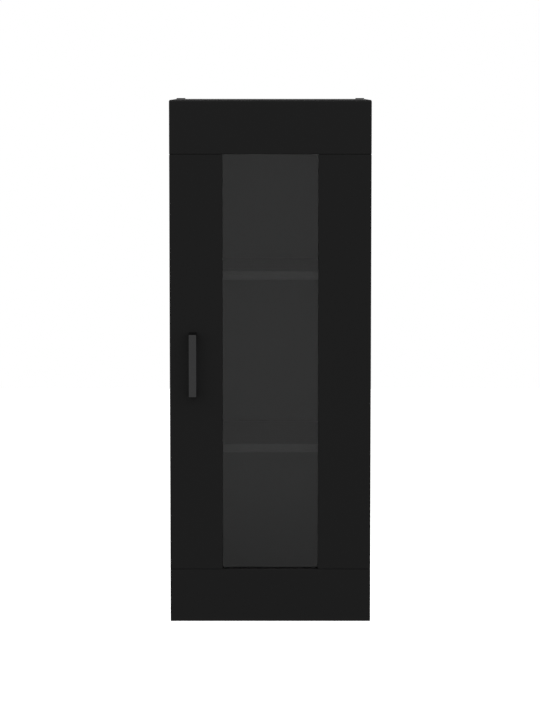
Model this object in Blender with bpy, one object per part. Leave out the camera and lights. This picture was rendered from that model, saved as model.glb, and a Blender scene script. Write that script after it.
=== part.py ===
"""Hanging wall cabinet: a board carcass, a framed door with a clear pane, two concealed cup hinges.

Metres, +Z up, front towards -Y, wall towards +Y. The origin is the middle of the bottom of the
whole box, from the front of the handle to the rear of the wall hangers.
"""
import math

import bmesh
import bpy
from mathutils import Matrix, Vector

for leftover in list(bpy.data.objects):
    bpy.data.objects.remove(leftover, do_unlink=True)

# ---- driving dimensions --------------------------------------------------------------------------
WIDTH = 0.345
HEIGHT = 0.900
DEPTH = 0.340                 # from the handle's front to the wall
FIT = 0.0003                  # gap between two pieces that touch
PAST = 0.001                  # how far a cutting shape stands past the face it opens

BOARD = 0.015                 # carcass boards and shelves
BOARD_EDGE = 0.0005           # small chamfer on every board edge
BACK_BOARD = 0.003
BACK_RECESS = 0.010           # free space behind the back panel
BACK_GROOVE = 0.005           # depth of the groove the back panel sits in
BACK_PLAY = 0.001             # room between the back panel's edge and the groove's floor

DOOR_BOARD = 0.015
DOOR_EDGE = 0.0009            # rounding on the door frame's edges
DOOR_GAP = 0.002              # between the door and the carcass
DOOR_REVEAL = 0.0012          # the door is this much short at top and bottom
RAIL = 0.091
HANDLE_STILE = 0.0905
HINGE_STILE = 0.0905
PANE = 0.003
PANE_SETBACK = 0.0095         # from the door's front to the pane's front
PANE_GROOVE = 0.008
PANE_PLAY = 0.001
DOWEL_DIAMETER = 0.006
DOWEL_LENGTH = 0.030
DOWEL_INSETS = (0.022, 0.062)  # from the door's outer edge
DOWEL_CHAMFER = 0.0006
DOWEL_TAPER = 0.001           # length of the chamfered end

SHELF_UNDERSIDES = {"lower": 0.2915, "upper": 0.591}
SHELF_SETBACK = 0.012
SHELF_BACK_PLAY = 0.003
PIN_DIAMETER = 0.005
PIN_IN_SIDE = 0.008
PIN_UNDER_SHELF = 0.007
PIN_COLLAR = 0.0012
PIN_COLLAR_DIAMETER = 0.008
PIN_INSET = 0.037             # from a shelf's front and rear edges
PIN_TAPER = 0.0005            # length of the pin's narrowed ends

CONFIRMAT_LENGTH = 0.050
CONFIRMAT_DIAMETER = 0.007
CONFIRMAT_HEAD = 0.010
CONFIRMAT_INSETS = {"front": 0.050, "rear": 0.060}
CONFIRMAT_RIM = 0.0012        # depth of the head's straight rim
CONFIRMAT_SINK = 0.0045       # depth at which the head's cone meets the thread
CONFIRMAT_TIP = 0.003
CONFIRMAT_KEY = 0.0023        # hexagonal recess, middle to corner
CONFIRMAT_KEY_DEPTH = 0.003

HANDLE_REACH = 0.025
HANDLE_BAR = 0.107
HANDLE_WIDTH = 0.0125
HANDLE_THICK = 0.006
HANDLE_FOOT_WIDTH = 0.0135
HANDLE_FOOT_FLARE = 0.0020    # how far a foot stands past the bar's end
HANDLE_FOOT_THICK = 0.013
HANDLE_FOOT_REACH = 0.010     # the foot's straight part, from the door
HANDLE_FOOT_DROP = 0.001      # the foot thickens by this much towards the bar, inside
HANDLE_CORNER = 0.0006        # rounding where the bar's front meets its end
HANDLE_INNER_CORNER = 0.005
HANDLE_EDGE = 0.0009          # rounding along the bar's edges
HANDLE_HOLES = 0.096
HANDLE_INSET = 0.0398         # handle's middle from the door's edge
HANDLE_HEIGHT = 0.4477
HANDLE_SCREW = 0.004
HANDLE_SCREW_BITE = 0.008
HANDLE_SCREW_HEAD = 0.008

HANGER_STEEL = 0.0012
HANGER_WIDTH = 0.040
HANGER_DROP = 0.068
HANGER_SHOULDER = 0.001       # the wide part of the leg ends this far below the cabinet's top
HANGER_FLANGE = 0.030
HANGER_FLANGE_WIDTH = 0.015
HANGER_INSET = 0.0015         # from the cabinet's outer side
KEYHOLE_HEAD = 0.010
KEYHOLE_SLOT = 0.0055
KEYHOLE_DROP = 0.052          # middle of the head hole below the cabinet's top
KEYHOLE_RISE = 0.016
KEYHOLE_INSET = 0.0285        # from the cabinet's outer side
WOOD_SCREW = 0.0035
WOOD_SCREW_HEAD = 0.0068
WOOD_SCREW_LENGTH = 0.020
HANGER_SCREW_INSET = 0.0065   # from the cabinet's outer side
HANGER_SCREW_TOP = 0.020      # flange screw, from the wall
HANGER_SCREW_REAR = 0.032     # leg screw, below the top
CROSS_ARM = 0.0019            # crossed recess of a wood screw: half its span and half a slot
CROSS_HALF = 0.0004
CROSS_DEPTH = 0.0012
HANDLE_CROSS_ARM = 0.0018
PLATE_CROSS_ARM = 0.0022
PLATE_CROSS_HALF = 0.0005
PLATE_CROSS_DEPTH = 0.002

HINGE_FROM_END = 0.140        # hinge's middle from the cabinet's top or bottom
CUP_DIAMETER = 0.0344
CUP_INBOARD = 0.0075          # cup's middle from the side panel's inner face
CUP_DEPTH = 0.012
CUP_STEEL = 0.001
CUP_RIM = 0.0012
CUP_RIM_THICK = 0.0008
PLATE_SETBACK = 0.037         # mounting holes from the carcass's front edge
PLATE_HOLES = 0.032
PLATE_WING = 0.0024
PLATE_WING_WIDTH = 0.012
PLATE_RAIL_HEIGHT = 0.0090
PLATE_RAIL_START = 0.012      # from the carcass's front edge
PLATE_RAIL_END = 0.060
PLATE_SCREW = 0.0062
PLATE_SCREW_HEAD = 0.0078
PLATE_SCREW_LENGTH = 0.0125
ARM_STEEL = 0.001
ARM_SLACK = 0.0005            # between a link's side and the arm's cheek
ARM_PIN = 0.0024
CUP_PIN = 0.0022
LINK_STEEL = 0.0020
LINK_WIDTH = 0.009
EYE_WALL = 0.0012
CUP_EYE_WALL = 0.0007
LINK_TIP = 0.0028             # round end of the inner link inside the cup
LINK_TIP_PIN = 0.0016
CUP_FLOOR_FILLET = 0.0006
CUP_NOTCH_DEPTH = 0.0024      # opening in the cup's wall towards the side panel
ARM_NECK = 0.75               # the nose's waist, as a part of its eye's radius

# Pivots of the hinge linkage: inboard distance from the side panel's inner face (negative is
# towards the cabinet's middle), and distance behind the door's back face.
OUTER_ARM_PIVOT = (-0.0206, 0.0160)
OUTER_CUP_PIVOT = (0.0051, -0.0024)
INNER_ARM_PIVOT = (-0.0197, -0.0060)
INNER_CUP_PIVOT = (0.0010, -0.0055)
OUTER_LINK_KNEE = (-0.0015, 0.0010)    # the outer link is cranked here to clear the side panel

# ---- places worked out from them -----------------------------------------------------------------
HALF = WIDTH / 2
INNER_HALF = HALF - BOARD
WALL_Y = DEPTH / 2
HANDLE_FRONT_Y = -DEPTH / 2
DOOR_FRONT_Y = HANDLE_FRONT_Y + HANDLE_REACH
DOOR_BACK_Y = DOOR_FRONT_Y + DOOR_BOARD
CARCASS_FRONT_Y = DOOR_BACK_Y + DOOR_GAP
CARCASS_BACK_Y = WALL_Y - HANGER_STEEL - FIT
BACK_REAR_Y = CARCASS_BACK_Y - BACK_RECESS
BACK_FRONT_Y = BACK_REAR_Y - BACK_BOARD
DOOR_BOTTOM = DOOR_REVEAL
DOOR_TOP = HEIGHT - DOOR_REVEAL
WINDOW_LEFT = -HALF + HANDLE_STILE
WINDOW_RIGHT = HALF - HINGE_STILE
WINDOW_BOTTOM = DOOR_BOTTOM + RAIL
WINDOW_TOP = DOOR_TOP - RAIL
CUP_X = INNER_HALF - CUP_INBOARD
HANDLE_X = -HALF + HANDLE_INSET
HINGE_HEIGHTS = {"lower": HINGE_FROM_END, "upper": HEIGHT - HINGE_FROM_END}
SIDES = {"left": -1, "right": 1}
AXES = {"x": Vector((1, 0, 0)), "y": Vector((0, 1, 0)), "z": Vector((0, 0, 1))}


def hinge_point(pivot):
    """World x and y of a point given inboard of the side panel and behind the door."""
    return INNER_HALF + pivot[0], DOOR_BACK_Y + pivot[1]


# ---- finishes ------------------------------------------------------------------------------------
def finish(name, colour, roughness, metallic=0.0):
    material = bpy.data.materials.new(name)
    material.use_nodes = True
    shader = material.node_tree.nodes["Principled BSDF"]
    shader.inputs["Base Color"].default_value = (*colour, 1.0)
    shader.inputs["Roughness"].default_value = roughness
    shader.inputs["Metallic"].default_value = metallic
    return material


def clear_finish(name, colour, roughness):
    material = finish(name, colour, roughness)
    shader = material.node_tree.nodes["Principled BSDF"]
    shader.inputs["Transmission Weight"].default_value = 0.9
    return material


# ---- mesh building -------------------------------------------------------------------------------
def add_box(mesh, low, high):
    """A box between two corners."""
    middle = (Vector(low) + Vector(high)) / 2
    size = Vector(high) - Vector(low)
    place = Matrix.Translation(middle) @ Matrix.Diagonal((*size, 1.0))
    bmesh.ops.create_cube(mesh, size=1.0, matrix=place)


def add_rings(mesh, rings):
    """Skin a list of equally long point rings and close both ends."""
    loops = [[mesh.verts.new(point) for point in ring] for ring in rings]
    for first, second in zip(loops, loops[1:]):
        for index in range(len(first)):
            after = (index + 1) % len(first)
            mesh.faces.new((first[index], first[after], second[after], second[index]))
    mesh.faces.new(list(reversed(loops[0])))
    mesh.faces.new(loops[-1])


def add_turned(mesh, start, axis, profile, segments=16):
    """A turned piece. The profile lists (distance along the axis, radius)."""
    along = AXES[axis]
    across = AXES["y"] if axis == "x" else AXES["x"]
    other = along.cross(across)
    rings = []
    for distance, radius in profile:
        middle = Vector(start) + along * distance
        turns = [2 * math.pi * step / segments for step in range(segments)]
        rings.append([middle + radius * (math.cos(t) * across + math.sin(t) * other) for t in turns])
    add_rings(mesh, rings)


def add_plate(mesh, outline, axis, start, end):
    """A flat outline of two coordinates, pushed along the third axis."""
    def point(pair, level):
        if axis == "z":
            return Vector((pair[0], pair[1], level))
        if axis == "y":
            return Vector((pair[0], level, pair[1]))
        return Vector((level, pair[0], pair[1]))
    add_rings(mesh, [[point(pair, level) for pair in outline] for level in (start, end)])


def arc(centre, radius, start, end, steps):
    """Points on an arc, angles in degrees."""
    angles = [math.radians(start + (end - start) * step / steps) for step in range(steps + 1)]
    return [(centre[0] + radius * math.cos(a), centre[1] + radius * math.sin(a)) for a in angles]


def make_piece(name, build, material=None, parent=None, origin=None, smooth=False):
    """An object from a function that fills a bmesh in world places; its origin is set apart."""
    mesh = bmesh.new()
    build(mesh)
    bmesh.ops.recalc_face_normals(mesh, faces=mesh.faces)
    if origin is None:
        points = [vertex.co for vertex in mesh.verts]
        low = Vector([min(point[axis] for point in points) for axis in range(3)])
        high = Vector([max(point[axis] for point in points) for axis in range(3)])
        origin = (low + high) / 2
    bmesh.ops.translate(mesh, verts=mesh.verts, vec=-Vector(origin))
    data = bpy.data.meshes.new(name)
    mesh.to_mesh(data)
    mesh.free()
    if smooth:
        data.shade_smooth()
        data.set_sharp_from_angle(angle=math.radians(40))
    piece = bpy.data.objects.new(name, data)
    bpy.context.scene.collection.objects.link(piece)
    piece.location = Vector(origin)
    if parent is not None:
        piece.parent = parent
        piece.location = Vector(origin) - parent.location
    if material is not None:
        data.materials.append(material)
    return piece


def make_axis(name, place):
    """An empty on a joint's axis; the pieces that turn there are its children."""
    empty = bpy.data.objects.new(name, None)
    empty.location = place
    bpy.context.scene.collection.objects.link(empty)
    return empty


def make_tool(name, build, parent=None):
    """A cutting or joining shape that isn't part of the cabinet."""
    tool = make_piece(name, build, parent=parent)
    tool.hide_render = True
    tool.display_type = "WIRE"
    return tool


def apply_tool(piece, tool, operation="DIFFERENCE"):
    modifier = piece.modifiers.new(operation.lower(), "BOOLEAN")
    modifier.operation = operation
    modifier.solver = "EXACT"
    modifier.object = tool


def soften_edges(piece, width, segments=1):
    modifier = piece.modifiers.new("edges", "BEVEL")
    modifier.width = width
    modifier.segments = segments
    modifier.limit_method = "ANGLE"


def make_board(name, low, high, material, parent=None, edge=BOARD_EDGE, segments=1):
    board = make_piece(name, lambda mesh: add_box(mesh, low, high), material, parent)
    soften_edges(board, edge, segments)
    return board


# ---- finishes of this cabinet --------------------------------------------------------------------
black_board = finish("black_board", (0.028, 0.028, 0.029), 0.5)
back_board = finish("back_board", (0.03, 0.03, 0.03), 0.6)
clear_pane = clear_finish("clear_pane", (0.9, 0.92, 0.92), 0.03)
dark_metal = finish("dark_metal", (0.07, 0.07, 0.07), 0.4, 0.6)
zinc = finish("zinc", (0.62, 0.62, 0.62), 0.3, 1.0)
black_steel = finish("black_steel", (0.04, 0.04, 0.04), 0.45, 0.4)
beech = finish("beech", (0.55, 0.38, 0.22), 0.6)

# ---- joint axes ----------------------------------------------------------------------------------
door_axis = make_axis("door_axis", (*hinge_point(OUTER_CUP_PIVOT), 0.0))
outer_link_axis = make_axis("outer_link_axis", (*hinge_point(OUTER_ARM_PIVOT), 0.0))
inner_link_axis = make_axis("inner_link_axis", (*hinge_point(INNER_ARM_PIVOT), 0.0))

# ---- carcass boards ------------------------------------------------------------------------------
boards = {}
for side, sign in SIDES.items():
    inner, outer = sorted((sign * INNER_HALF, sign * HALF))
    boards["side_" + side] = make_board(
        "side_" + side,
        (inner, CARCASS_FRONT_Y, 0.0),
        (outer, CARCASS_BACK_Y, HEIGHT),
        black_board,
    )
for name, bottom in (("top_panel", HEIGHT - BOARD), ("bottom_panel", 0.0)):
    boards[name] = make_board(
        name,
        (-INNER_HALF + FIT, CARCASS_FRONT_Y, bottom),
        (INNER_HALF - FIT, CARCASS_BACK_Y, bottom + BOARD),
        black_board,
    )

# The back panel stands in a groove that runs round all four boards.
back_reach = BACK_GROOVE - BACK_PLAY
make_board(
    "back_panel",
    (-INNER_HALF - back_reach, BACK_FRONT_Y, BOARD - back_reach),
    (INNER_HALF + back_reach, BACK_REAR_Y, HEIGHT - BOARD + back_reach),
    back_board,
    edge=BOARD_EDGE / 2,
)
groove_tool = make_tool("back_groove_tool", lambda mesh: add_box(
    mesh,
    (-INNER_HALF - BACK_GROOVE, BACK_FRONT_Y - FIT, BOARD - BACK_GROOVE),
    (INNER_HALF + BACK_GROOVE, BACK_REAR_Y + FIT, HEIGHT - BOARD + BACK_GROOVE),
))
for board in boards.values():
    apply_tool(board, groove_tool)

# ---- confirmat screws: through the sides into the ends of the top and bottom panels --------------
CONFIRMAT_HEIGHTS = {"top": HEIGHT - BOARD / 2, "bottom": BOARD / 2}
CONFIRMAT_PLACES = {
    "front": CARCASS_FRONT_Y + CONFIRMAT_INSETS["front"],
    "rear": CARCASS_BACK_Y - CONFIRMAT_INSETS["rear"],
}


def confirmat_profile(sign, slack):
    """Countersunk head, thick thread and a blunt tip, or the hole for it when slack is given."""
    head = CONFIRMAT_HEAD / 2 + slack
    shank = CONFIRMAT_DIAMETER / 2 + slack
    sunk = FIT - slack * 2
    steps = [
        (sunk, head),
        (CONFIRMAT_RIM, head),
        (CONFIRMAT_SINK, shank),
        (CONFIRMAT_LENGTH - CONFIRMAT_TIP + slack, shank),
        (CONFIRMAT_LENGTH + slack, shank / 2),
    ]
    return [(-sign * distance, radius) for distance, radius in steps]


def confirmat_recess(mesh, sign, place, height):
    hexagon = arc((place, height), CONFIRMAT_KEY, 0, 300, 5)
    ends = (sign * (HALF + PAST), sign * (HALF - CONFIRMAT_KEY_DEPTH))
    add_plate(mesh, hexagon, "x", *ends)


for level, height in CONFIRMAT_HEIGHTS.items():
    for side, sign in SIDES.items():
        for where, place in CONFIRMAT_PLACES.items():
            label = "_".join((level, side, where))
            start = (sign * HALF, place, height)
            screw = make_piece(
                "confirmat_" + label,
                lambda mesh: add_turned(mesh, start, "x", confirmat_profile(sign, 0.0), 14),
                zinc,
                smooth=True,
            )
            recess = make_tool(
                "confirmat_recess_" + label,
                lambda mesh: confirmat_recess(mesh, sign, place, height),
            )
            apply_tool(screw, recess)
            hole = make_tool(
                "confirmat_hole_" + label,
                lambda mesh: add_turned(mesh, start, "x", confirmat_profile(sign, FIT), 14),
            )
            apply_tool(boards["side_" + side], hole)
            apply_tool(boards[level + "_panel"], hole)

# ---- shelves on pins -----------------------------------------------------------------------------
SHELF_FRONT_Y = CARCASS_FRONT_Y + SHELF_SETBACK
SHELF_REAR_Y = BACK_FRONT_Y - SHELF_BACK_PLAY
SHELF_HALF = INNER_HALF - PIN_COLLAR - 2 * FIT


def pin_profile(sign):
    """Stub in the side, collar on its face, stub under the shelf; distances run inboard."""
    stub = PIN_DIAMETER / 2
    steps = [
        (-PIN_IN_SIDE, stub * 0.8),
        (-PIN_IN_SIDE + PIN_TAPER, stub),
        (FIT, stub),
        (FIT, PIN_COLLAR_DIAMETER / 2),
        (FIT + PIN_COLLAR, PIN_COLLAR_DIAMETER / 2),
        (FIT + PIN_COLLAR, stub),
        (FIT + PIN_COLLAR + PIN_UNDER_SHELF - PIN_TAPER, stub),
        (FIT + PIN_COLLAR + PIN_UNDER_SHELF, stub * 0.8),
    ]
    return [(-sign * distance, radius) for distance, radius in steps]


for level, underside in SHELF_UNDERSIDES.items():
    make_board(
        "shelf_" + level,
        (-SHELF_HALF, SHELF_FRONT_Y, underside),
        (SHELF_HALF, SHELF_REAR_Y, underside + BOARD),
        black_board,
    )
    pin_places = {"front": SHELF_FRONT_Y + PIN_INSET, "rear": SHELF_REAR_Y - PIN_INSET}
    pin_height = underside - FIT - PIN_DIAMETER / 2
    for side, sign in SIDES.items():
        for where, place in pin_places.items():
            label = "_".join((level, side, where))
            start = (sign * INNER_HALF, place, pin_height)
            make_piece(
                "shelf_pin_" + label,
                lambda mesh: add_turned(mesh, start, "x", pin_profile(sign), 12),
                zinc,
                smooth=True,
            )
            hole_radius = PIN_DIAMETER / 2 + FIT
            bore = [(-sign * PAST, hole_radius), (sign * (PIN_IN_SIDE + FIT), hole_radius)]
            hole = make_tool(
                "shelf_pin_hole_" + label,
                lambda mesh: add_turned(mesh, start, "x", bore, 12),
            )
            apply_tool(boards["side_" + side], hole)


# ---- wall hangers --------------------------------------------------------------------------------
def wood_screw_profile(direction, slack):
    """Countersunk wood screw from its head inwards, or the hole for it when slack is given."""
    head = WOOD_SCREW_HEAD / 2 + slack
    shank = WOOD_SCREW / 2 + slack
    steps = [
        (0.0001 - slack * 2, head),
        (0.0004, head),
        (0.0022, shank),
        (WOOD_SCREW_LENGTH - 0.005 + slack, shank),
        (WOOD_SCREW_LENGTH + slack, shank * 0.3),
    ]
    return [(direction * distance, radius) for distance, radius in steps]


def cross_outline(place, arm, half):
    """Outline of a cross about a point of two coordinates."""
    corners = [(arm, -half), (arm, half), (half, half), (half, arm), (-half, arm), (-half, half)]
    corners += [(-arm, half), (-arm, -half), (-half, -half), (-half, -arm), (half, -arm), (half, -half)]
    return [(place[0] + across, place[1] + up) for across, up in corners]


HANGER_TOP = HEIGHT + FIT + HANGER_STEEL
for side, sign in SIDES.items():
    outer_x = sign * (HALF - HANGER_INSET)
    leg_x = sorted((outer_x, outer_x - sign * HANGER_WIDTH))
    flange_x = sorted((outer_x, outer_x - sign * HANGER_FLANGE_WIDTH))
    key_x = sign * (HALF - KEYHOLE_INSET)
    key_z = HEIGHT - KEYHOLE_DROP
    screw_x = sign * (HALF - HANGER_SCREW_INSET)
    leg_low = (leg_x[0], WALL_Y - HANGER_STEEL, HEIGHT - HANGER_DROP)
    leg_high = (leg_x[1], WALL_Y, HEIGHT - HANGER_SHOULDER)
    hanger = make_piece("hanger_" + side, lambda mesh: add_box(mesh, leg_low, leg_high), black_steel)
    flange = make_tool("hanger_flange_tool_" + side, lambda mesh: add_box(
        mesh,
        (flange_x[0], WALL_Y - HANGER_FLANGE, HEIGHT + FIT),
        (flange_x[1], WALL_Y - HANGER_STEEL / 2, HANGER_TOP),
    ))
    neck = make_tool("hanger_neck_tool_" + side, lambda mesh: add_box(
        mesh,
        (flange_x[0], WALL_Y - HANGER_STEEL, HEIGHT - HANGER_SHOULDER - HANGER_STEEL),
        (flange_x[1], WALL_Y, HANGER_TOP),
    ))
    apply_tool(hanger, neck, "UNION")
    apply_tool(hanger, flange, "UNION")
    slot_top = key_z + KEYHOLE_RISE
    slot_side = math.degrees(math.asin(KEYHOLE_SLOT / KEYHOLE_HEAD))
    keyhole = arc((key_x, slot_top), KEYHOLE_SLOT / 2, 0, 180, 6)
    keyhole += arc((key_x, key_z), KEYHOLE_HEAD / 2, 90 + slot_side, 450 - slot_side, 18)
    keyhole_tool = make_tool("keyhole_tool_" + side, lambda mesh: add_plate(
        mesh, keyhole, "y", WALL_Y - 2 * HANGER_STEEL, WALL_Y + HANGER_STEEL))
    apply_tool(hanger, keyhole_tool)
    screw_places = {
        "top": ((screw_x, WALL_Y - HANGER_SCREW_TOP, HANGER_TOP), "z"),
        "rear": ((screw_x, WALL_Y, HEIGHT - HANGER_SCREW_REAR), "y"),
    }
    for where, (place, axis) in screw_places.items():
        label = where + "_" + side
        screw = make_piece(
            "hanger_screw_" + label,
            lambda mesh: add_turned(mesh, place, axis, wood_screw_profile(-1, 0.0), 12),
            black_steel,
            smooth=True,
        )
        if axis == "y":
            cross = cross_outline((place[0], place[2]), CROSS_ARM, CROSS_HALF)
            ends = (WALL_Y - CROSS_DEPTH, WALL_Y + PAST)
        else:
            cross = cross_outline((place[0], place[1]), CROSS_ARM, CROSS_HALF)
            ends = (HANGER_TOP - CROSS_DEPTH, HANGER_TOP + PAST)
        recess = make_tool("hanger_screw_recess_" + label, lambda mesh: add_plate(mesh, cross, axis, *ends))
        apply_tool(screw, recess)
        hole = make_tool(
            "hanger_screw_hole_" + label,
            lambda mesh: add_turned(mesh, place, axis, wood_screw_profile(-1, FIT), 12),
        )
        apply_tool(hanger, hole)
        apply_tool(boards["side_" + side], hole)


# ---- door frame and pane -------------------------------------------------------------------------
def make_door_board(name, left, right, bottom, top):
    board = make_board(
        name,
        (left, DOOR_FRONT_Y, bottom),
        (right, DOOR_BACK_Y, top),
        black_board,
        parent=door_axis,
        edge=DOOR_EDGE,
        segments=2,
    )
    return board


seam = FIT / 2
door_boards = {
    "rail_bottom": make_door_board("door_rail_bottom", -HALF, HALF, DOOR_BOTTOM, WINDOW_BOTTOM - seam),
    "rail_top": make_door_board("door_rail_top", -HALF, HALF, WINDOW_TOP + seam, DOOR_TOP),
    "stile_left": make_door_board(
        "door_stile_left", -HALF, WINDOW_LEFT, WINDOW_BOTTOM + seam, WINDOW_TOP - seam),
    "stile_right": make_door_board(
        "door_stile_right", WINDOW_RIGHT, HALF, WINDOW_BOTTOM + seam, WINDOW_TOP - seam),
}
pane_reach = PANE_GROOVE - PANE_PLAY
pane_front = DOOR_FRONT_Y + PANE_SETBACK
make_board(
    "door_pane",
    (WINDOW_LEFT - pane_reach, pane_front, WINDOW_BOTTOM - pane_reach),
    (WINDOW_RIGHT + pane_reach, pane_front + PANE, WINDOW_TOP + pane_reach),
    clear_pane,
    parent=door_axis,
    edge=BOARD_EDGE / 2,
)
pane_tool = make_tool("pane_groove_tool", lambda mesh: add_box(
    mesh,
    (WINDOW_LEFT - PANE_GROOVE, pane_front - FIT, WINDOW_BOTTOM - PANE_GROOVE),
    (WINDOW_RIGHT + PANE_GROOVE, pane_front + PANE + FIT, WINDOW_TOP + PANE_GROOVE),
), parent=door_axis)
for board in door_boards.values():
    apply_tool(board, pane_tool)

# Two dowels across each joint between a rail and a stile.
dowel_y = DOOR_FRONT_Y + DOOR_BOARD / 2
for level, joint_height in (("bottom", WINDOW_BOTTOM), ("top", WINDOW_TOP)):
    for side, sign in SIDES.items():
        for where, inset in zip(("outer", "inner"), DOWEL_INSETS):
            label = "_".join((level, side, where))
            start = (sign * (HALF - inset), dowel_y, joint_height)
            half_length = DOWEL_LENGTH / 2
            radius = DOWEL_DIAMETER / 2
            body = [
                (-half_length, radius - DOWEL_CHAMFER),
                (-half_length + DOWEL_TAPER, radius),
                (half_length - DOWEL_TAPER, radius),
                (half_length, radius - DOWEL_CHAMFER),
            ]
            make_piece(
                "dowel_" + label,
                lambda mesh: add_turned(mesh, start, "z", body, 12),
                beech,
                parent=door_axis,
                smooth=True,
            )
            room = half_length + PAST
            bore = [(-room, radius + FIT), (room, radius + FIT)]
            hole = make_tool(
                "dowel_hole_" + label,
                lambda mesh: add_turned(mesh, start, "z", bore, 12),
                parent=door_axis,
            )
            apply_tool(door_boards["rail_" + level], hole)
            apply_tool(door_boards["stile_" + side], hole)

# ---- bow handle and its screws -------------------------------------------------------------------
def handle_half():
    """Outer and inner line of the bow's upper half, as (reach from the door, height)."""
    bar_end = HANDLE_BAR / 2
    corner = HANDLE_CORNER
    foot_out = bar_end + HANDLE_FOOT_FLARE
    foot_in = foot_out - HANDLE_FOOT_THICK
    inner_reach = HANDLE_REACH - HANDLE_THICK
    inner_corner = HANDLE_INNER_CORNER
    outer = [(FIT, foot_out), (HANDLE_FOOT_REACH, foot_out - HANDLE_FOOT_FLARE * 0.4)]
    outer += arc((HANDLE_REACH - corner, bar_end - corner), corner, 90, 0, 3)
    inner_top = foot_in - HANDLE_FOOT_DROP
    inner = [(FIT, foot_in), (HANDLE_FOOT_REACH, inner_top)]
    inner += arc((inner_reach - inner_corner, inner_top - inner_corner), inner_corner, 90, 0, 3)
    return outer, inner


def handle_sections(mesh):
    """Rounded sections from the lower foot, along the bar, to the upper foot."""
    outer, inner = handle_half()
    lower = [((r1, -h1), (r2, -h2)) for (r1, h1), (r2, h2) in zip(outer, inner)]
    upper = [((r1, h1), (r2, h2)) for (r1, h1), (r2, h2) in zip(outer, inner)]
    rings = []
    for first, second in lower + list(reversed(upper)):
        outside = Vector((0.0, DOOR_FRONT_Y - first[0], HANDLE_HEIGHT + first[1]))
        inside = Vector((0.0, DOOR_FRONT_Y - second[0], HANDLE_HEIGHT + second[1]))
        depth = (inside - outside).length
        along = (inside - outside).normalized()
        reach = (first[0] + second[0]) / 2
        spread = 1 - min(reach / (HANDLE_REACH - HANDLE_THICK / 2), 1)
        half = (HANDLE_WIDTH + (HANDLE_FOOT_WIDTH - HANDLE_WIDTH) * spread) / 2
        edge = HANDLE_EDGE
        marks = [
            (edge, -half), (edge * 0.3, -half + edge * 0.3), (0, -half + edge),
            (0, half - edge), (edge * 0.3, half - edge * 0.3), (edge, half),
            (depth - edge, half), (depth - edge * 0.3, half - edge * 0.3), (depth, half - edge),
            (depth, -half + edge), (depth - edge * 0.3, -half + edge * 0.3), (depth - edge, -half),
        ]
        rings.append([outside + along * d + Vector((HANDLE_X + side, 0, 0)) for d, side in marks])
    add_rings(mesh, rings)


handle = make_piece("handle", handle_sections, dark_metal, parent=door_axis, smooth=True)
HANDLE_SCREW_PLACES = {
    "bottom": HANDLE_HEIGHT - HANDLE_HOLES / 2,
    "top": HANDLE_HEIGHT + HANDLE_HOLES / 2,
}
for where, height in HANDLE_SCREW_PLACES.items():
    start = (HANDLE_X, DOOR_BACK_Y, height)
    head = HANDLE_SCREW_HEAD / 2
    shank = HANDLE_SCREW / 2
    length = DOOR_BOARD + HANDLE_SCREW_BITE
    pan_head = [
        (FIT + 0.0026, head * 0.55), (FIT + 0.0021, head * 0.85), (FIT + 0.0012, head),
        (FIT, head), (FIT, shank), (-length + 0.0006, shank), (-length, shank * 0.7),
    ]
    screw = make_piece(
        "handle_screw_" + where,
        lambda mesh: add_turned(mesh, start, "y", pan_head, 14),
        zinc,
        parent=door_axis,
        smooth=True,
    )
    cross = cross_outline((HANDLE_X, height), HANDLE_CROSS_ARM, CROSS_HALF)
    recess = make_tool(
        "handle_screw_recess_" + where,
        lambda mesh: add_plate(mesh, cross, "y", DOOR_BACK_Y + 0.0014, DOOR_BACK_Y + 0.005),
        parent=door_axis,
    )
    apply_tool(screw, recess)
    bore = [(PAST, shank + FIT), (-length - FIT, shank + FIT)]
    hole = make_tool(
        "handle_screw_hole_" + where,
        lambda mesh: add_turned(mesh, start, "y", bore, 14),
        parent=door_axis,
    )
    apply_tool(door_boards["stile_left"], hole)
    apply_tool(handle, hole)


# ---- concealed hinges ----------------------------------------------------------------------------
def link_outline(first, second, first_radius, second_radius, waist, knee=None):
    """Outline of a link: two round eyes joined by a straight or cranked waist."""
    bend = knee or ((first[0] + second[0]) / 2, (first[1] + second[1]) / 2)
    leave = math.atan2(bend[1] - first[1], bend[0] - first[0])
    arrive = math.atan2(second[1] - bend[1], second[0] - bend[0])
    first_side = math.degrees(math.asin(min(waist / first_radius, 0.95)))
    second_side = math.degrees(math.asin(min(waist / second_radius, 0.95)))
    middle = (leave + arrive) / 2
    across = waist / math.cos((leave - arrive) / 2)
    shift = (-math.sin(middle) * across, math.cos(middle) * across)
    start = math.degrees(leave)
    end = math.degrees(arrive)
    outline = arc(first, first_radius, start + first_side, start + 360 - first_side, 12)
    outline.append((bend[0] - shift[0], bend[1] - shift[1]))
    outline += arc(second, second_radius, end + 180 + second_side, end + 540 - second_side, 12)
    outline.append((bend[0] + shift[0], bend[1] + shift[1]))
    return outline


def add_pin(mesh, pivot, radius, height, half_length):
    x, y = hinge_point(pivot)
    add_turned(mesh, (x, y, height), "z", [(-half_length, radius), (half_length, radius)], 14)


def hinge_outline(points):
    return [hinge_point(point) for point in points]


CHEEK_HALF = LINK_WIDTH / 2 + ARM_SLACK + ARM_STEEL
PLATE_RAIL_HALF = LINK_WIDTH / 2 + ARM_SLACK - FIT
ARM_TOP = PLATE_RAIL_HEIGHT + 2 * FIT + ARM_STEEL      # arm's back above the side panel
ARM_REAR = DOOR_GAP + PLATE_RAIL_END
ARM_LOW = PLATE_WING + 2 * FIT
ARM_SHOULDER = DOOR_GAP + 0.028
ARM_EYE = ARM_PIN / 2 + EYE_WALL
PLATE_HOLE_Y = CARCASS_FRONT_Y + PLATE_SETBACK


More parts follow.
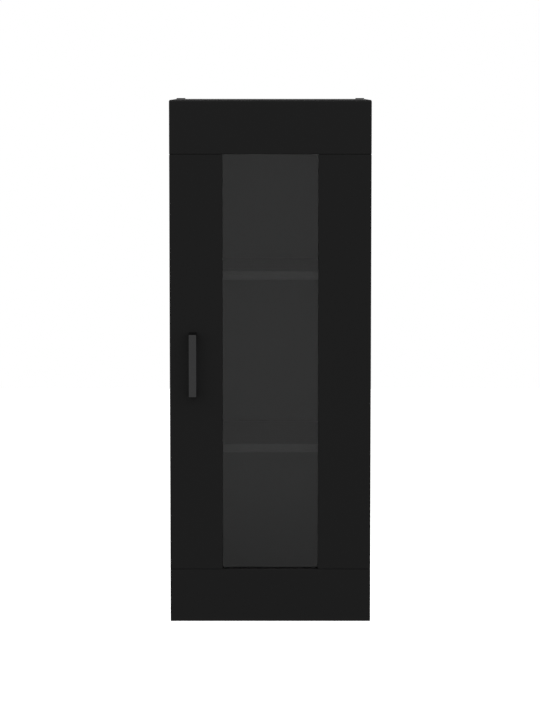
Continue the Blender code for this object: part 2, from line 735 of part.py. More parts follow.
def arm_cheek():
    """Side view of the arm: a straight rear part and a nose that carries both arm pivots."""
    outer = OUTER_ARM_PIVOT
    inner = INNER_ARM_PIVOT
    neck = ARM_EYE * ARM_NECK
    outline = [(-ARM_LOW, ARM_REAR), (-ARM_LOW, DOOR_GAP + 0.011)]
    outline.append((inner[0] + ARM_EYE * 1.3, DOOR_GAP))
    outline += arc(inner, ARM_EYE, 20, -200, 9)
    outline.append((inner[0] - neck, inner[1] + ARM_EYE * 1.5))
    outline.append((outer[0] - neck, outer[1] - ARM_EYE * 1.5))
    outline += arc(outer, ARM_EYE, 200, 95, 6)
    outline += [(-ARM_TOP, ARM_SHOULDER), (-ARM_TOP, ARM_REAR)]
    return outline


def arm_web():
    """The strip that joins the two cheeks along the arm's back."""
    ramp = (OUTER_ARM_PIVOT[0] + 0.0022, OUTER_ARM_PIVOT[1] + 0.0052)
    steel = ARM_STEEL
    return [
        (-ARM_TOP, ARM_REAR), (-ARM_TOP, ARM_SHOULDER), ramp,
        (ramp[0] + 0.8 * steel, ramp[1] - 0.9 * steel),
        (-ARM_TOP + steel, ARM_SHOULDER - 0.6 * steel), (-ARM_TOP + steel, ARM_REAR),
    ]


for level, height in HINGE_HEIGHTS.items():
    # Mounting plate: a winged base with a rail that the arm is clipped over.
    hole_heights = {"bottom": height - PLATE_HOLES / 2, "top": height + PLATE_HOLES / 2}
    wing = arc((PLATE_HOLE_Y, hole_heights["top"]), PLATE_WING_WIDTH / 2, 0, 180, 8)
    wing += arc((PLATE_HOLE_Y, hole_heights["bottom"]), PLATE_WING_WIDTH / 2, 180, 360, 8)
    face = INNER_HALF - FIT
    plate = make_piece(
        "hinge_plate_" + level,
        lambda mesh: add_plate(mesh, wing, "x", face - PLATE_WING, face),
        zinc,
    )
    rail = make_tool("plate_rail_tool_" + level, lambda mesh: add_box(
        mesh,
        (INNER_HALF - PLATE_RAIL_HEIGHT, CARCASS_FRONT_Y + PLATE_RAIL_START, height - PLATE_RAIL_HALF),
        (face, CARCASS_FRONT_Y + PLATE_RAIL_END, height + PLATE_RAIL_HALF),
    ))
    apply_tool(plate, rail, "UNION")
    for where, hole_height in hole_heights.items():
        label = level + "_" + where
        start = (face - PLATE_WING, PLATE_HOLE_Y, hole_height)
        head = PLATE_SCREW_HEAD / 2
        shank = PLATE_SCREW / 2
        profile = [
            (0.0001, head), (0.0006, head), (0.0014, shank),
            (PLATE_SCREW_LENGTH - 0.002, shank), (PLATE_SCREW_LENGTH, shank * 0.6),
        ]
        screw = make_piece(
            "plate_screw_" + label,
            lambda mesh: add_turned(mesh, start, "x", profile, 14),
            zinc,
            smooth=True,
        )
        cross = cross_outline((PLATE_HOLE_Y, hole_height), PLATE_CROSS_ARM, PLATE_CROSS_HALF)
        ends = (start[0] - PAST, start[0] + PLATE_CROSS_DEPTH)
        recess = make_tool(
            "plate_screw_recess_" + label,
            lambda mesh: add_plate(mesh, cross, "x", *ends),
        )
        apply_tool(screw, recess)
        room = [
            (-PAST, head + FIT), (0.0006 + FIT, head + FIT), (0.0014 + FIT, shank + FIT),
            (PLATE_SCREW_LENGTH + FIT, shank + FIT),
        ]
        hole = make_tool(
            "plate_screw_hole_" + label,
            lambda mesh: add_turned(mesh, start, "x", room, 14),
        )
        apply_tool(plate, hole)
        apply_tool(boards["side_right"], hole)

    # Arm: two cheeks, the web between them and the two pins the links turn on.
    cheek_inner = CHEEK_HALF - ARM_STEEL
    arm = make_piece("hinge_arm_" + level, lambda mesh: add_plate(
        mesh, hinge_outline(arm_cheek()), "z", height + cheek_inner, height + CHEEK_HALF), zinc)
    other_cheek = make_tool("arm_cheek_tool_" + level, lambda mesh: add_plate(
        mesh, hinge_outline(arm_cheek()), "z", height - CHEEK_HALF, height - cheek_inner))
    web = make_tool("arm_web_tool_" + level, lambda mesh: add_plate(
        mesh, hinge_outline(arm_web()), "z", height - CHEEK_HALF, height + CHEEK_HALF))
    apply_tool(arm, web, "UNION")
    apply_tool(arm, other_cheek, "UNION")
    for label, pivot in (("outer", OUTER_ARM_PIVOT), ("inner", INNER_ARM_PIVOT)):
        pin = make_tool(
            "arm_pin_tool_" + label + "_" + level,
            lambda mesh: add_pin(mesh, pivot, ARM_PIN / 2, height, CHEEK_HALF + FIT),
        )
        apply_tool(arm, pin, "UNION")

    # Outer link: carries the door, turns on the arm and on the pin in the cup.
    arm_eye = ARM_PIN / 2 + FIT + EYE_WALL
    cup_eye = CUP_PIN / 2 + FIT + CUP_EYE_WALL
    link = make_piece(
        "outer_link_" + level,
        lambda mesh: add_plate(
            mesh,
            hinge_outline(link_outline(
                OUTER_ARM_PIVOT, OUTER_CUP_PIVOT, arm_eye, cup_eye, LINK_STEEL / 2, OUTER_LINK_KNEE)),
            "z", height - LINK_WIDTH / 2, height + LINK_WIDTH / 2),
        zinc,
        parent=outer_link_axis,
        origin=(*hinge_point(OUTER_ARM_PIVOT), height),
    )
    eyes = ((OUTER_ARM_PIVOT, ARM_PIN / 2), (OUTER_CUP_PIVOT, CUP_PIN / 2))
    for number, (pivot, radius) in enumerate(eyes):
        eye_tool = make_tool(
            "outer_link_eye_" + level + str(number),
            lambda mesh: add_pin(mesh, pivot, radius + FIT, height, LINK_WIDTH),
            parent=outer_link_axis,
        )
        apply_tool(link, eye_tool)

    # Inner link: turns on the arm; its other end carries its own short pin inside the cup.
    guide = make_piece(
        "inner_link_" + level,
        lambda mesh: add_plate(
            mesh,
            hinge_outline(link_outline(
                INNER_ARM_PIVOT, INNER_CUP_PIVOT, arm_eye, LINK_TIP / 2, LINK_STEEL / 2)),
            "z", height - LINK_WIDTH / 2, height + LINK_WIDTH / 2),
        zinc,
        parent=inner_link_axis,
        origin=(*hinge_point(INNER_ARM_PIVOT), height),
    )
    eye_tool = make_tool(
        "inner_link_eye_" + level,
        lambda mesh: add_pin(mesh, INNER_ARM_PIVOT, ARM_PIN / 2 + FIT, height, LINK_WIDTH),
        parent=inner_link_axis,
    )
    apply_tool(guide, eye_tool)
    tip_pin = make_tool(
        "inner_link_pin_" + level,
        lambda mesh: add_pin(mesh, INNER_CUP_PIVOT, LINK_TIP_PIN / 2, height, LINK_WIDTH / 2 + 0.002),
        parent=inner_link_axis,
    )
    apply_tool(guide, tip_pin, "UNION")

    # Cup: pressed into the stile, with a rim on the door's back and the pin of the outer link.
    outside = CUP_DIAMETER / 2
    inside = outside - CUP_STEEL
    rim = outside + CUP_RIM
    shell = [
        (-CUP_DEPTH, outside - 0.001), (-CUP_DEPTH + 0.001, outside),
        (FIT, outside), (FIT, rim), (FIT + CUP_RIM_THICK, rim - 0.0003), (FIT + CUP_RIM_THICK, inside),
        (-CUP_DEPTH + CUP_STEEL + CUP_FLOOR_FILLET, inside),
        (-CUP_DEPTH + CUP_STEEL, inside - CUP_FLOOR_FILLET),
    ]
    cup = make_piece(
        "hinge_cup_" + level,
        lambda mesh: add_turned(mesh, (CUP_X, DOOR_BACK_Y, height), "y", shell, 32),
        zinc,
        parent=door_axis,
        smooth=True,
    )
    notch = make_tool(
        "cup_notch_tool_" + level,
        lambda mesh: add_box(
            mesh,
            (CUP_X + 0.010, DOOR_BACK_Y - CUP_NOTCH_DEPTH, height - LINK_WIDTH / 2 - ARM_SLACK),
            (CUP_X + 0.020, DOOR_BACK_Y + 0.002, height + LINK_WIDTH / 2 + ARM_SLACK)),
        parent=door_axis,
    )
    apply_tool(cup, notch)
    pin_offset = hinge_point(OUTER_CUP_PIVOT)[0] - CUP_X
    pin_reach = math.sqrt((outside - 0.0001) ** 2 - (pin_offset + CUP_PIN / 2) ** 2)
    cup_pin = make_tool(
        "cup_pin_tool_" + level,
        lambda mesh: add_pin(mesh, OUTER_CUP_PIVOT, CUP_PIN / 2, height, pin_reach),
        parent=door_axis,
    )
    apply_tool(cup, cup_pin, "UNION")
    bore = [(PAST, outside + FIT), (-CUP_DEPTH - FIT, outside + FIT)]
    hole = make_tool(
        "cup_bore_tool_" + level,
        lambda mesh: add_turned(mesh, (CUP_X, DOOR_BACK_Y, height), "y", bore, 32),
        parent=door_axis,
    )
    apply_tool(door_boards["stile_right"], hole)
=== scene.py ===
import math

import bpy
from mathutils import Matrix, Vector


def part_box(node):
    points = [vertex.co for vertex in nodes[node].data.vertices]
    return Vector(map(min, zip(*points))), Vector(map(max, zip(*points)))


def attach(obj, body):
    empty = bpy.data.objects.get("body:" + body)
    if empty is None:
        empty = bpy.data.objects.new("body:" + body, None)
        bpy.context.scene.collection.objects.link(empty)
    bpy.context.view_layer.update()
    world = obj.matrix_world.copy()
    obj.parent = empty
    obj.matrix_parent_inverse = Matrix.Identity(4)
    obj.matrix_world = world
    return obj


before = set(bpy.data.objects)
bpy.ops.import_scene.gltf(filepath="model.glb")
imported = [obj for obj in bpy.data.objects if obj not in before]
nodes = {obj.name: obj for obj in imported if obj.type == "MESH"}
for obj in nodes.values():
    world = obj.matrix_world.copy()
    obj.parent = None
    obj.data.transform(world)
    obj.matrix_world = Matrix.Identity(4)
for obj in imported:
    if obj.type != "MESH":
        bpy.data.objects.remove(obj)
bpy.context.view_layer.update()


# ---- View ----------------------------------------------------------------------------------------
# The cabinet is seen square on from a little above its top and from far off. The camera tips down
# slightly and shifts the rest of the way, so that the upright edges stay almost parallel.
EYE_HEIGHT = 0.9268
EYE_DISTANCE = 3.90
LENS = 114.5
TIP_DOWN = 4.423
SHIFT_UP = -0.137
SHIFT_RIGHT = -0.0005
door_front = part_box("door_stile_left")[0][1]
camera_data = bpy.data.cameras.new("camera")
camera_data.lens = LENS
camera_data.sensor_width = 36.0
camera_data.shift_x = SHIFT_RIGHT
camera_data.shift_y = SHIFT_UP
camera_data.clip_start = 0.05
camera_data.clip_end = 60.0
camera = bpy.data.objects.new("camera", camera_data)
bpy.context.scene.collection.objects.link(camera)
bpy.context.scene.camera = camera
camera.location = (0.0, door_front - EYE_DISTANCE, EYE_HEIGHT)
camera.rotation_euler = (math.radians(90 - TIP_DOWN), 0.0, 0.0)
bpy.context.scene.view_settings.view_transform = "Standard"


# ---- Studio --------------------------------------------------------------------------------------
# A white room: even light from the front that fades below the horizon, and a pale floor well below,
# since the cabinet hangs on a wall. A wide soft light overhead falls on the floor alone. The camera
# sees the room as white. Room and floor are the first to be coloured by a Signal and a Finish.
FLOOR_DROP = 0.55
FLOOR_HALF = 7.0
FLOOR_DARK = (0.955, 0.955, 0.955)
FLOOR_PALE = (0.975, 0.975, 0.975)
ROOM_STOPS = (
    (0.00, 0.08), (0.26, 0.14), (0.385, 0.262), (0.4005, 0.312), (0.415, 0.360),
    (0.430, 0.374), (0.50, 0.377), (0.70, 0.40), (1.00, 0.55),
)
WALL_LIGHT = 0.42
WALL_LOW = 0.36
WALL_HIGH = 0.64
WALL_BEHIND = 0.72
OVERHEAD = 3.45
OVERHEAD_SPREAD = 70
OVERHEAD_TILT = -4


class Signal:
    """A value, colour or direction that changes over a surface; arithmetic on it adds nodes."""

    def __init__(self, tree, socket=None):
        self.tree = tree
        self.socket = socket

    def add(self, kind, settings=None, sockets=None, output=0):
        """A node of that kind: its settings first, then its sockets. Returns one of its outputs."""
        node = self.tree.nodes.new(kind)
        for name, value in (settings or {}).items():
            if name == "stops":
                ramp = node.color_ramp
                while len(ramp.elements) < len(value):
                    ramp.elements.new(0.5)
                for element, (place, shade) in zip(ramp.elements, value):
                    element.position = place
                    element.color = (shade, shade, shade, 1.0)
            else:
                setattr(node, name, value)
        for name, value in (sockets or {}).items():
            self.plug(node.inputs[name], value)
        return Signal(self.tree, node.outputs[output])

    def plug(self, socket, value):
        if isinstance(value, Signal):
            self.tree.links.new(value.socket, socket)
        elif isinstance(value, tuple) and socket.type == "RGBA":
            socket.default_value = (*value, 1.0)
        else:
            socket.default_value = value

    def sum(self, operation, first, second=0.0, clamp=False):
        settings = {"operation": operation, "use_clamp": clamp}
        return self.add("ShaderNodeMath", settings, {0: first, 1: second})

    def __add__(self, other):
        return self.sum("ADD", self, other)

    def __radd__(self, other):
        return self.sum("ADD", other, self)

    def __sub__(self, other):
        return self.sum("SUBTRACT", self, other)

    def __rsub__(self, other):
        return self.sum("SUBTRACT", other, self)

    def __mul__(self, other):
        return self.sum("MULTIPLY", self, other)

    def __rmul__(self, other):
        return self.sum("MULTIPLY", other, self)

    def above(self, level, softness):
        """0 below the level and 1 above it, with a soft step that wide."""
        return self.sum("MULTIPLY", self - (level - softness / 2), 1 / softness, clamp=True)

    def below(self, level, softness):
        return self.sum("MULTIPLY", (level + softness / 2) - self, 1 / softness, clamp=True)

    def part(self, name):
        """The X, Y or Z of a direction or place."""
        return self.add("ShaderNodeSeparateXYZ", {}, {"Vector": self}, name)

    def stretched(self, x, y, z):
        return self.add("ShaderNodeVectorMath", {"operation": "MULTIPLY"}, {0: self, 1: (x, y, z)})

    def blend(self, first, second):
        """One colour where this signal is 0 and the other where it is 1.

        Sockets 6 and 7 and output 2 are the Mix node's colour ones.
        """
        sockets = {"Factor": self, 6: first, 7: second}
        return self.add("ShaderNodeMix", {"data_type": "RGBA"}, sockets, 2)

    def noise(self, scale, detail, roughness=0.5):
        sockets = {"Vector": self, "Scale": scale, "Detail": detail, "Roughness": roughness}
        return self.add("ShaderNodeTexNoise", {}, sockets, "Fac")

    def cells(self, scale):
        sockets = {"Vector": self, "Scale": scale}
        return self.add("ShaderNodeTexVoronoi", {"feature": "F1"}, sockets, "Distance")

    def relief(self, height_in_metres, strength):
        """The shading normal of a surface whose height this signal is, 0 to 1."""
        sockets = {"Strength": strength, "Distance": height_in_metres, "Height": self}
        return self.add("ShaderNodeBump", {}, sockets, "Normal")


class Finish:
    """A material that starts as one plain shader; place and facing are measured on the piece."""

    def __init__(self, name):
        self.material = bpy.data.materials.new(name)
        self.material.use_nodes = True
        self.shader = self.material.node_tree.nodes["Principled BSDF"]
        self.start = Signal(self.material.node_tree)
        self.place = self.start.add("ShaderNodeTexCoord", {}, {}, "Object")
        self.facing = self.start.add("ShaderNodeTexCoord", {}, {}, "Normal")

    def wears(self, **sockets):
        for name, value in sockets.items():
            self.start.plug(self.shader.inputs[name.replace("_", " ")], value)

    def cover(self, *pieces):
        for piece in pieces:
            for slot in piece.material_slots:
                slot.material = self.material


room = bpy.data.worlds.new("room")
room.use_nodes = True
bpy.context.scene.world = room
air = Signal(room.node_tree)
for node in list(room.node_tree.nodes):
    room.node_tree.nodes.remove(node)
outward = air.add("ShaderNodeTexCoord", {}, {}, "Generated")
room_height = outward.part("Z") * 0.5 + 0.5
room_shade = air.add("ShaderNodeValToRGB", {"stops": ROOM_STOPS}, {"Fac": room_height}, "Color")
wall_band = room_height.above(WALL_LOW, 0.1) * room_height.below(WALL_HIGH, 0.1)
wall_side = outward.part("Y").above(WALL_BEHIND, 0.3) * wall_band
room_shade = wall_side.blend(room_shade, (WALL_LIGHT, WALL_LIGHT, WALL_LIGHT))
seen = air.add("ShaderNodeLightPath", {}, {}, "Is Camera Ray")
through = air.add("ShaderNodeLightPath", {}, {}, "Is Transmission Ray")
diffuse_bounces = air.add("ShaderNodeLightPath", {}, {}, "Diffuse Depth")
glossy_bounces = air.add("ShaderNodeLightPath", {}, {}, "Glossy Depth")
bounces = diffuse_bounces + glossy_bounces
seen = seen + through * bounces.below(0.5, 0.5)
room_colour = seen.blend(room_shade, (1.0, 1.0, 1.0))
room_light = air.add("ShaderNodeBackground", {}, {"Color": room_colour, "Strength": 1.0})
room_output = room.node_tree.nodes.new("ShaderNodeOutputWorld")
room.node_tree.links.new(room_light.socket, room_output.inputs["Surface"])

overhead_data = bpy.data.lights.new("overhead", "SUN")
overhead_data.energy = OVERHEAD
overhead_data.angle = math.radians(OVERHEAD_SPREAD)
overhead = bpy.data.objects.new("overhead", overhead_data)
bpy.context.scene.collection.objects.link(overhead)
overhead.rotation_euler = (math.radians(OVERHEAD_TILT), 0.0, 0.0)
lit_by_overhead = bpy.data.collections.new("lit_by_overhead")
overhead.light_linking.receiver_collection = lit_by_overhead

floor_mesh = bpy.data.meshes.new("floor")
floor_corners = [(-1, -1), (1, -1), (1, 1), (-1, 1)]
floor_points = [(x * FLOOR_HALF, y * FLOOR_HALF, -FLOOR_DROP) for x, y in floor_corners]
floor_mesh.from_pydata(floor_points, [], [(0, 1, 2, 3)])
floor = bpy.data.objects.new("floor", floor_mesh)
bpy.context.scene.collection.objects.link(floor)
floor_finish = Finish("floor_paint")
floor_speckle = floor_finish.place.noise(14.0, 4.0)
floor_finish.wears(Base_Color=floor_speckle.blend(FLOOR_DARK, FLOOR_PALE), Roughness=0.9)
floor_finish.shader.inputs["Specular IOR Level"].default_value = 0.1
floor_mesh.materials.append(floor_finish.material)
lit_by_overhead.objects.link(floor)
floor.visible_diffuse = False
floor.visible_glossy = False
floor.visible_transmission = False


# ---- Carcass boards ------------------------------------------------------------------------------
# Sides, top and bottom are 15 mm particleboard under black melamine paper with a fine pearl
# pressed into it. The front edges are banded with a smoother strip; the rear edges are left raw.
BLACK = (0.0238, 0.0238, 0.0239)
BLACK_PALE = (0.0276, 0.0276, 0.0277)
BAND_BLACK = (0.0262, 0.0262, 0.0263)
GLUE = (0.035, 0.033, 0.030)
CHIP_DARK = (0.16, 0.105, 0.058)
CHIP_PALE = (0.46, 0.36, 0.235)
PEARL = 1100.0
BOARD_GRAIN = 0.00005
BAND_THICKNESS = 0.0005
GLUE_WIDTH = 0.0001
GLUE_BLUR = 0.00005
EDGE_REACH = 0.0004
EDGE_BLUR = 0.0001
BLACK_SHINE = 0.22


def board_finish(name, front, rear=None, band_shade=BAND_BLACK):
    """Black melamine; front and rear are the places of the banded and of the raw edge."""
    board = Finish(name)
    pearl = board.place.cells(PEARL)
    print_noise = board.place.noise(160.0, 3.0)
    cloud = board.place.noise(5.0, 2.0)
    black = (print_noise * 0.6 + cloud * 0.4).blend(BLACK, BLACK_PALE)
    y = board.place.part("Y")
    facing_y = board.facing.part("Y")
    band = facing_y.below(-0.6, 0.2) * y.below(front + EDGE_REACH, EDGE_BLUR)
    band_back = front + BAND_THICKNESS
    glue = y.above(band_back, GLUE_BLUR) * y.below(band_back + GLUE_WIDTH, GLUE_BLUR)
    colour = band.blend(black, band_shade)
    colour = (glue * (1 - band)).blend(colour, GLUE)
    relief = pearl * (1 - band) + board.place.noise(420.0, 2.0) * 0.35
    roughness = 0.47 + cloud * 0.05 - band * 0.07 + print_noise * 0.03
    if rear is not None:
        raw = facing_y.above(0.6, 0.2) * y.above(rear - EDGE_REACH, EDGE_BLUR)
        chips = board.place.stretched(1.0, 1.0, 2.4).noise(330.0, 5.0, 0.7)
        chip_colour = chips.above(0.5, 0.35).blend(CHIP_DARK, CHIP_PALE)
        colour = raw.blend(colour, chip_colour)
        roughness = roughness + raw * 0.35
        relief = relief + raw * chips * 3.0
    board.wears(Base_Color=colour, Roughness=roughness, Normal=relief.relief(BOARD_GRAIN, 0.35))
    board.shader.inputs["Specular IOR Level"].default_value = BLACK_SHINE
    return board


carcass_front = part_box("side_left")[0][1]
carcass_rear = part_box("side_left")[1][1]
carcass_finish = board_finish("black_melamine", carcass_front, carcass_rear)
CARCASS_BOARDS = ("side_left", "side_right", "top_panel", "bottom_panel")
carcass_finish.cover(*[nodes[name] for name in CARCASS_BOARDS])


# ---- Shelves -------------------------------------------------------------------------------------
# Two loose shelves of the same board, set back from the carcass's front. Their front edge carries
# the same black band as the carcass, painted paler: painted light for the front light that falls on
# the edge through the pane.
# Painted light: paler than the carcass's band, standing in for the front light reaching the shelf
# edge through the pane.
SHELF_BAND_PAINTED_LIGHT = (0.054, 0.054, 0.0545)
shelf_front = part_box("shelf_lower")[0][1]
shelf_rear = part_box("shelf_lower")[1][1]
shelf_finish = board_finish("black_melamine_shelf", shelf_front, shelf_rear, SHELF_BAND_PAINTED_LIGHT)
shelf_finish.cover(nodes["shelf_lower"], nodes["shelf_upper"])


# ---- Back panel ----------------------------------------------------------------------------------
# A 3 mm hardboard sheet in grooves: black foil towards the inside, bare brown fibre with the print
# of the press screen towards the wall.
FIBRE_DARK = (0.115, 0.062, 0.030)
FIBRE_PALE = (0.215, 0.128, 0.068)
SCREEN = 1900.0
PRESS_DEPTH = 0.00008
back_finish = Finish("hardboard")
fibre = back_finish.place.stretched(1.0, 1.0, 0.45).noise(240.0, 6.0, 0.7)
blotch = back_finish.place.noise(9.0, 3.0)
screen_x = back_finish.start.sum("SINE", back_finish.place.part("X") * SCREEN)
screen_z = back_finish.start.sum("SINE", back_finish.place.part("Z") * SCREEN)
bare = back_finish.facing.part("Y").above(0.5, 0.2)
foil = back_finish.place.noise(180.0, 3.0).blend(BLACK, BLACK_PALE)
fibre_colour = (fibre * 0.7 + blotch * 0.3).above(0.5, 0.6).blend(FIBRE_DARK, FIBRE_PALE)
press_marks = bare * (screen_x * screen_z * 0.5 + fibre)
back_relief = press_marks + back_finish.place.cells(PEARL) * 0.3
back_finish.wears(
    Base_Color=bare.blend(foil, fibre_colour),
    Roughness=0.5 + bare * 0.32,
    Normal=back_relief.relief(PRESS_DEPTH, 0.5),
)
back_finish.shader.inputs["Specular IOR Level"].default_value = BLACK_SHINE
back_finish.cover(nodes["back_panel"])


# ---- Shelf pins, confirmats, plate and handle screws ---------------------------------------------
# Turned and cold-headed steel with bright zinc plating, a little cloudy from the bath.
ZINC_PALE = (0.66, 0.67, 0.69)
ZINC_DARK = (0.50, 0.51, 0.53)
PLATING_GRAIN = 0.00002
zinc_finish = Finish("zinc_plate")
zinc_cloud = zinc_finish.place.noise(700.0, 4.0)
zinc_lines = zinc_finish.place.stretched(0.3, 0.3, 1.0).noise(3500.0, 2.0)
zinc_finish.wears(
    Base_Color=zinc_cloud.blend(ZINC_DARK, ZINC_PALE),
    Metallic=1.0,
    Roughness=0.27 + zinc_cloud * 0.14,
    Normal=(zinc_cloud + zinc_lines * 0.4).relief(PLATING_GRAIN, 0.3),
)
ZINC_WORDS = ("shelf_pin", "confirmat", "plate_screw", "handle_screw")
zinc_finish.cover(*[nodes[name] for name in nodes if name.startswith(ZINC_WORDS)])


# ---- Wall hangers and their screws ---------------------------------------------------------------
# Pressed steel angles with a keyhole, stove-enamelled black, screwed into the rear top corners.
ENAMEL = (0.017, 0.017, 0.018)
ENAMEL_PALE = (0.026, 0.026, 0.027)
ENAMEL_PEEL = 0.00004
hanger_finish = Finish("black_enamel")
enamel_peel = hanger_finish.place.noise(900.0, 2.0)
enamel_cloud = hanger_finish.place.noise(60.0, 3.0)
hanger_finish.wears(
    Base_Color=enamel_cloud.blend(ENAMEL, ENAMEL_PALE),
    Roughness=0.38 + enamel_peel * 0.1,
    Normal=enamel_peel.relief(ENAMEL_PEEL, 0.4),
)
hanger_finish.cover(*[nodes[name] for name in nodes if name.startswith("hanger")])


# ---- Door frame ----------------------------------------------------------------------------------
# Two rails and two stiles of black-faced board, doweled and glued, with softly rounded edges and a
# fine open line at each joint.
NO_BAND = -1.0
door_finish = board_finish("black_door_frame", NO_BAND)
DOOR_BOARDS = ("door_rail_bottom", "door_rail_top", "door_stile_left", "door_stile_right")
door_finish.cover(*[nodes[name] for name in DOOR_BOARDS])


# ---- Dowels --------------------------------------------------------------------------------------
# Beech pegs across the joints, with the fine flecked grain running along them. Each peg is painted
# black where it crosses the open line between a rail and a stile: painted shade, so that line reads
# as a dark shaded seam and the beech doesn't show through it.
SEAM_SHADE_REACH = 0.0012
SEAM_SHADE_FADE = 0.0004
BEECH_DARK = (0.44, 0.27, 0.14)
BEECH_PALE = (0.63, 0.44, 0.27)
BEECH_GRAIN = 0.00006
beech_finish = Finish("beech")
beech_grain = beech_finish.place.stretched(1.0, 1.0, 0.08).noise(1800.0, 4.0, 0.6)
dowel_height = beech_finish.place.part("Z")
# Painted shade: black on the pegs within the open line at each rail joint.
painted_seam_shade = 0.0
for joint in (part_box("door_rail_bottom")[1][2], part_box("door_rail_top")[0][2]):
    over = dowel_height.above(joint - SEAM_SHADE_REACH, SEAM_SHADE_FADE)
    painted_seam_shade = over * dowel_height.below(joint + SEAM_SHADE_REACH, SEAM_SHADE_FADE) + painted_seam_shade
beech_colour = beech_grain.above(0.5, 0.5).blend(BEECH_DARK, BEECH_PALE)
beech_finish.wears(
    # The black band on each peg is painted shade in the seam.
    Base_Color=painted_seam_shade.blend(beech_colour, BLACK),
    Roughness=0.55 + beech_grain * 0.15,
    Normal=beech_grain.relief(BEECH_GRAIN, 0.5),
)
beech_finish.cover(*[nodes[name] for name in nodes if name.startswith("dowel")])


# ---- Pane ----------------------------------------------------------------------------------------
# One clear, 3 mm sheet held in the frame's groove. It mirrors the room over the dark inside.
PANE_DARK = (0.965, 0.97, 0.97)
PANE_PALE = (0.98, 0.985, 0.985)
PANE_HAZE = 0.006
pane_finish = Finish("clear_pane")
pane_haze = pane_finish.place.noise(24.0, 3.0)
pane_finish.wears(
    Base_Color=pane_haze.blend(PANE_DARK, PANE_PALE),
    Roughness=pane_haze.above(0.62, 0.2) * PANE_HAZE,
    Transmission_Weight=1.0,
    IOR=1.5,
)
pane_finish.cover(nodes["door_pane"])


# ---- Handle --------------------------------------------------------------------------------------
# A die-cast bow with a dark nickel finish. It is glossy enough for its upper end to mirror the
# black door.
DARK_NICKEL = (0.098, 0.098, 0.099)
DARK_NICKEL_PALE = (0.112, 0.112, 0.113)
handle_finish = Finish("dark_nickel")
cast_cloud = handle_finish.place.noise(140.0, 3.0)
cast_grain = handle_finish.place.stretched(1.0, 1.0, 0.25).noise(1600.0, 3.0)
handle_finish.wears(
    Base_Color=cast_cloud.blend(DARK_NICKEL, DARK_NICKEL_PALE),
    Metallic=1.0,
    Roughness=0.09 + cast_cloud * 0.04 + cast_grain * 0.05,
    Normal=(cast_grain * 0.5 + cast_cloud * 0.5).relief(PLATING_GRAIN, 0.3),
)
handle_finish.cover(nodes["handle"])


# ---- Concealed hinges ----------------------------------------------------------------------------
# Pressed steel cup, arm, links and mounting plate with bright nickel plating, faintly drawn along
# the arm by the press. Cups are let into the stile, plates are screwed to the side.
NICKEL_PALE = (0.74, 0.71, 0.66)
NICKEL_DARK = (0.60, 0.575, 0.53)
nickel_finish = Finish("nickel_plate")
nickel_cloud = nickel_finish.place.noise(260.0, 3.0)
nickel_draw = nickel_finish.place.stretched(1.0, 0.06, 1.0).noise(2600.0, 3.0)
nickel_finish.wears(
    Base_Color=nickel_cloud.blend(NICKEL_DARK, NICKEL_PALE),
    Metallic=1.0,
    Roughness=0.19 + nickel_cloud * 0.1 + nickel_draw * 0.06,
    Normal=(nickel_draw * 0.7 + nickel_cloud * 0.3).relief(PLATING_GRAIN, 0.35),
)
HINGE_WORDS = ("hinge", "outer_link", "inner_link")
nickel_finish.cover(*[nodes[name] for name in nodes if name.startswith(HINGE_WORDS)])


# ---- Adjusting screws ----------------------------------------------------------------------------
# Each hinge arm carries two turned zinc screws with a dished head: one sets the door's overlay, the
# other holds the arm on its mounting plate.
ARM_OVER_RAIL = 0.0016
SCREW_PLACES = {"depth": 0.009, "overlay": 0.024}
SCREW_PROFILE = (
    (0.00005, 0.0034), (0.0009, 0.0034), (0.0013, 0.0030), (0.0014, 0.0024),
    (0.0012, 0.0021), (0.0006, 0.0010),
)


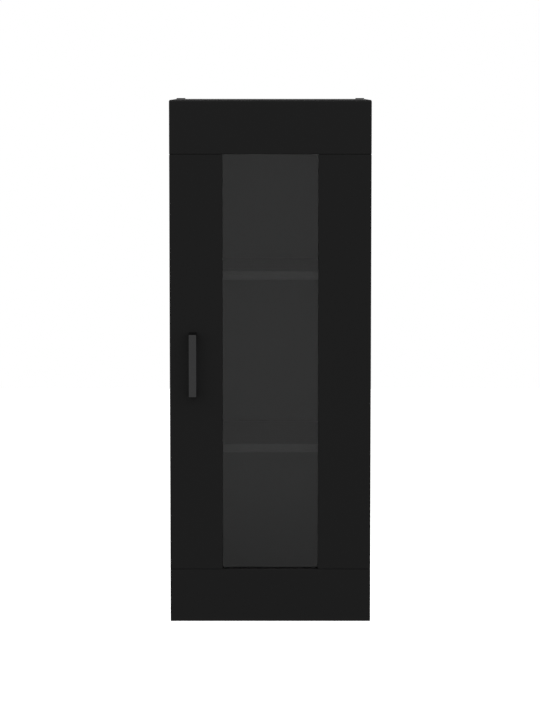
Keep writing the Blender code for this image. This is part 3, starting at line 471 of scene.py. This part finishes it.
def turned(name, start, along, across, profile, segments=28):
    """A turned piece from (distance along its axis, radius), closed at both ends."""
    along = Vector(along).normalized()
    across = Vector(across).normalized()
    other = along.cross(across)
    points = []
    faces = []
    for distance, radius in profile:
        for step in range(segments):
            turn = 2 * math.pi * step / segments
            points.append(Vector(start) + along * distance
                          + across * radius * math.cos(turn) + other * radius * math.sin(turn))
    rows = len(profile)
    for row in range(rows - 1):
        for step in range(segments):
            after = (step + 1) % segments
            low = row * segments
            high = low + segments
            faces.append((low + step, low + after, high + after, high + step))
    faces.append(tuple(reversed(range(segments))))
    faces.append(tuple(range((rows - 1) * segments, rows * segments)))
    mesh = bpy.data.meshes.new(name)
    mesh.from_pydata(points, [], faces)
    mesh.shade_smooth()
    mesh.set_sharp_from_angle(angle=math.radians(40))
    piece = bpy.data.objects.new(name, mesh)
    bpy.context.scene.collection.objects.link(piece)
    return piece


arm_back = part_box("hinge_plate_lower")[0][0] - ARM_OVER_RAIL
for level in ("lower", "upper"):
    arm_low, arm_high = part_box("hinge_arm_" + level)
    middle = (arm_low[2] + arm_high[2]) / 2
    for use, from_rear in SCREW_PLACES.items():
        place = (arm_back, arm_high[1] - from_rear, middle)
        screw = turned("arm_screw_" + use + "_" + level, place, (-1, 0, 0), (0, 1, 0), SCREW_PROFILE)
        screw.data.materials.append(zinc_finish.material)
        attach(screw, "carcass")


# ---- Door bumpers --------------------------------------------------------------------------------
# Two soft, clear polyurethane domes stuck to the door's back at the handle side, where it meets
# the carcass.
BUMPER_RADIUS = 0.004
BUMPER_HEIGHT = 0.0014
BUMPER_FROM_END = 0.030
RUBBER_DARK = (0.80, 0.80, 0.78)
RUBBER_PALE = (0.90, 0.90, 0.88)
bumper_finish = Finish("clear_rubber")
bumper_haze = bumper_finish.place.noise(900.0, 3.0)
bumper_finish.wears(
    Base_Color=bumper_haze.blend(RUBBER_DARK, RUBBER_PALE),
    Roughness=0.22 + bumper_haze * 0.16,
    Transmission_Weight=0.75,
    IOR=1.48,
)
door_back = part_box("door_stile_left")[1][1]
side_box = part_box("side_left")
bumper_x = (side_box[0][0] + side_box[1][0]) / 2
BUMPER_PROFILE = (
    (0.00005, BUMPER_RADIUS * 0.96), (0.0003, BUMPER_RADIUS), (0.0008, BUMPER_RADIUS * 0.86),
    (0.0012, BUMPER_RADIUS * 0.6), (BUMPER_HEIGHT, BUMPER_RADIUS * 0.28),
)
bumper_heights = {
    "bottom": side_box[0][2] + BUMPER_FROM_END,
    "top": side_box[1][2] - BUMPER_FROM_END,
}
for where, height in bumper_heights.items():
    place = (bumper_x, door_back, height)
    bumper = turned("bumper_" + where, place, (0, 1, 0), (1, 0, 0), BUMPER_PROFILE)
    bumper.data.materials.append(bumper_finish.material)
    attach(bumper, "door")
